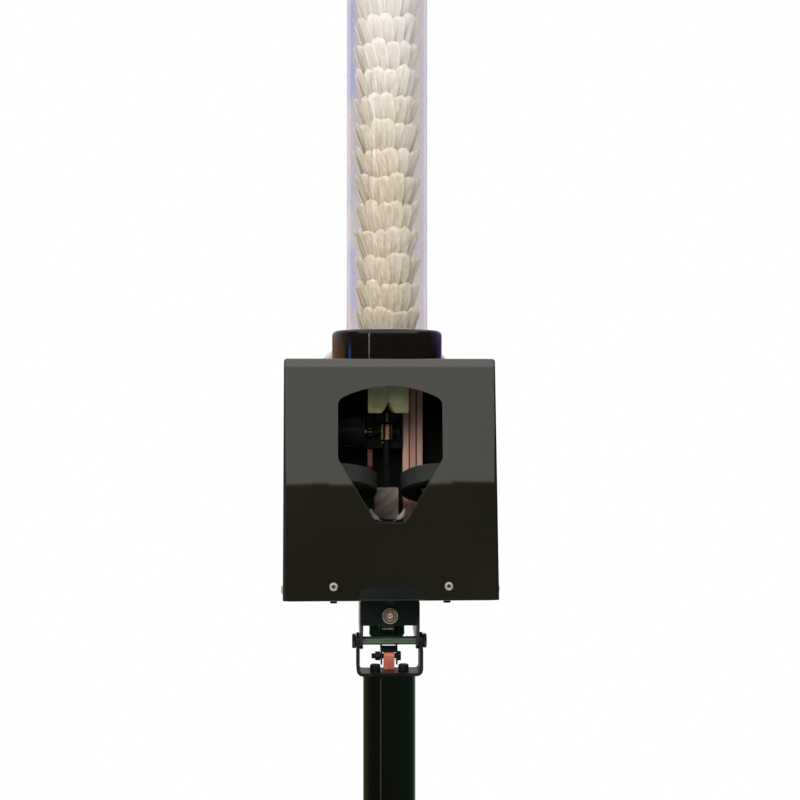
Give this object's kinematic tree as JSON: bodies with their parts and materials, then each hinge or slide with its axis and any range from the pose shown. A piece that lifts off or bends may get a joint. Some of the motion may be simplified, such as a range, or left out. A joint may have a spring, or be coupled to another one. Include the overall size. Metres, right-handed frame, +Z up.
{
  "type": "badminton serving machine",
  "caption": "Floor-standing badminton serving machine: a tilting case with launch wheels and feed jaws under a clear hopper tube of shuttlecocks, on a telescopic pole with folding legs.",
  "frame": {"origin": "on the floor, on the pole's axis", "axes": "+X to the right as seen from the front, +Y away from the player, +Z up"},
  "size_m": [0.6764, 0.6764, 1.973],
  "materials": {
    "stand_paint": "satin black powder coat",
    "pole_paint": "gloss black",
    "case_paint": "gloss black",
    "joint_paint": "satin black",
    "inner_frame": "satin black",
    "knob_plastic": "moulded",
    "lug_red": "red anodised",
    "steel": "zinc plated",
    "pusher_steel": "zinc plated, lever red",
    "brass": "turned",
    "frame_aluminium": "satin anodised",
    "motor_can": "satin",
    "battery_wrap": "shrink wrap",
    "board": "solder mask",
    "cradle_plastic": "smooth",
    "collar_plastic": "gloss black",
    "tube_clear": "clear",
    "handle_plastic": "moulded",
    "tread_rubber": "soft tread",
    "wheel_plastic": "moulded",
    "jaw_green": "smooth",
    "rocker_plastic": "gloss black",
    "shuttle": "feather and cork"
  },
  "bodies": {
    "stand": {"column_tube": "stand_paint", "base_hub": "stand_paint", "clamp_collar": "stand_paint"},
    "leg_front_left": {"leg_front_left": "stand_paint"},
    "leg_front_right": {"leg_front_right": "stand_paint"},
    "leg_rear_right": {"leg_rear_right": "stand_paint"},
    "leg_rear_left": {"leg_rear_left": "stand_paint"},
    "clamp_knob": {"clamp_knob": "knob_plastic"},
    "guide": {"guide_bush": "knob_plastic"},
    "pole": {"inner_pole": "pole_paint", "yoke": "joint_paint", "tilt_lug": "lug_red", "lug_bolt": "steel", "pivot_bolt": "steel"},
    "strut": {"tilt_strut": "joint_paint"},
    "head": {"head_bracket": "joint_paint", "base_tray": "case_paint", "hood": "case_paint", "rear_panel": "case_paint", "frame_post": "frame_aluminium", "battery": "battery_wrap", "control_board": "board", "wheel_motor_left": "motor_can", "wheel_motor_right": "motor_can", "motor_bracket_left": "frame_aluminium", "motor_bracket_right": "frame_aluminium", "jaw_bracket": "inner_frame", "pusher_bracket": "inner_frame", "feed_motor": "motor_can", "cradle": "cradle_plastic", "tube_collar": "collar_plastic", "hopper_tube": "tube_clear", "carry_handle": "handle_plastic"},
    "trunnion": {"trunnion_nut": "brass"},
    "screw": {"tilt_screw": "steel", "star_knob": "knob_plastic"},
    "wheel_left": {"wheel_tyre_left": "tread_rubber", "wheel_hub_left": "wheel_plastic"},
    "wheel_right": {"wheel_tyre_right": "tread_rubber", "wheel_hub_right": "wheel_plastic"},
    "jaw_left": {"jaw_left": "jaw_green"},
    "jaw_right": {"jaw_right": "jaw_green"},
    "pusher": {"pusher_shaft": "pusher_steel", "pusher_bush": "brass", "pusher_arm": "steel"},
    "shuttle_stack": {"shuttle_01": "shuttle", "shuttle_02": "shuttle", "shuttle_03": "shuttle", "shuttle_04": "shuttle", "shuttle_05": "shuttle", "shuttle_06": "shuttle", "shuttle_07": "shuttle", "shuttle_08": "shuttle", "shuttle_09": "shuttle", "shuttle_10": "shuttle", "shuttle_11": "shuttle", "shuttle_12": "shuttle", "shuttle_13": "shuttle"},
    "rocker": {"rocker_switch": "rocker_plastic"},
    "dial": {"speed_dial": "knob_plastic"}
  },
  "joints": [
    {"name": "leg_fold_front_left", "type": "hinge", "parent": "stand", "child": "leg_front_left", "pos_m": [-0.03712, -0.03712, 0.0265], "axis": [0, 0, -1], "range_deg": [0, 45]},
    {"name": "leg_fold_front_right", "type": "hinge", "parent": "stand", "child": "leg_front_right", "pos_m": [0.03712, -0.03712, 0.0265], "axis": [0, 0, 1], "range_deg": [0, 45]},
    {"name": "leg_fold_rear_right", "type": "hinge", "parent": "stand", "child": "leg_rear_right", "pos_m": [0.03712, 0.03712, 0.0265], "axis": [0, 0, -1], "range_deg": [0, 45]},
    {"name": "leg_fold_rear_left", "type": "hinge", "parent": "stand", "child": "leg_rear_left", "pos_m": [-0.03712, 0.03712, 0.0265], "axis": [0, 0, 1], "range_deg": [0, 45]},
    {"name": "clamp_turn", "type": "hinge", "parent": "stand", "child": "clamp_knob", "pos_m": [0.0514, 0, 0.7893], "axis": [1, 0, 0], "range_deg": [0, 720]},
    {"name": "height_slide", "type": "slide", "parent": "stand", "child": "guide", "axis": [0, 0, 1], "range_m": [-0.35, 0.1]},
    {"name": "head_pan", "type": "hinge", "parent": "guide", "child": "pole", "pos_m": [0, 0, 1], "axis": [0, 0, 1], "range_deg": [-90, 90]},
    {"name": "head_tilt", "type": "hinge", "parent": "pole", "child": "head", "pos_m": [0, 0, 1.2505], "axis": [1, 0, 0], "range_deg": [-15, 15]},
    {"name": "strut_swing", "type": "hinge", "parent": "pole", "child": "strut", "pos_m": [0, 0.008, 1.2345], "axis": [1, 0, 0], "range_deg": [-23, 23]},
    {"name": "trunnion_slide", "type": "slide", "parent": "head", "child": "trunnion", "axis": [0, 0.9848, -0.1736], "range_m": [-0.008, 0.008]},
    {"name": "screw_turn", "type": "hinge", "parent": "head", "child": "screw", "pos_m": [0, -0.016, 1.276], "axis": [0, 0.9848, -0.1736], "range_deg": [-2700, 2700]},
    {"name": "wheel_spin_left", "type": "hinge", "parent": "head", "child": "wheel_left", "pos_m": [-0.0532, 0.016, 1.399], "axis": [0, 0.342, 0.9397], "continuous": true},
    {"name": "wheel_spin_right", "type": "hinge", "parent": "head", "child": "wheel_right", "pos_m": [0.0532, 0.016, 1.399], "axis": [0, 0.342, 0.9397], "continuous": true},
    {"name": "jaw_open_left", "type": "slide", "parent": "head", "child": "jaw_left", "axis": [-1, 0, 0], "range_m": [0, 0.02]},
    {"name": "jaw_open_right", "type": "slide", "parent": "head", "child": "jaw_right", "axis": [1, 0, 0], "range_m": [0, 0.02]},
    {"name": "pusher_swing", "type": "hinge", "parent": "head", "child": "pusher", "pos_m": [0, 0.078, 1.448], "axis": [-1, 0, 0], "range_deg": [0, 22]},
    {"name": "stack_lift", "type": "slide", "parent": "head", "child": "shuttle_stack", "axis": [0, 0, 1], "range_m": [0, 0.087]},
    {"name": "rocker_tip", "type": "hinge", "parent": "head", "child": "rocker", "pos_m": [0.06, 0.135, 1.3354], "axis": [1, 0, 0], "range_deg": [-10, 10]},
    {"name": "dial_turn", "type": "hinge", "parent": "head", "child": "dial", "pos_m": [0.02, 0.135, 1.3354], "axis": [0, 1, 0], "range_deg": [-150, 150]}
  ],
  "couplings": [
    {"joint": "strut_swing", "follows": "head_tilt", "ratio": 1.459},
    {"joint": "trunnion_slide", "follows": "head_tilt", "m_per_rad": -0.0279},
    {"joint": "screw_turn", "follows": "head_tilt", "ratio": 175.3},
    {"joint": "jaw_open_right", "follows": "jaw_open_left", "ratio": 1}
  ]
}
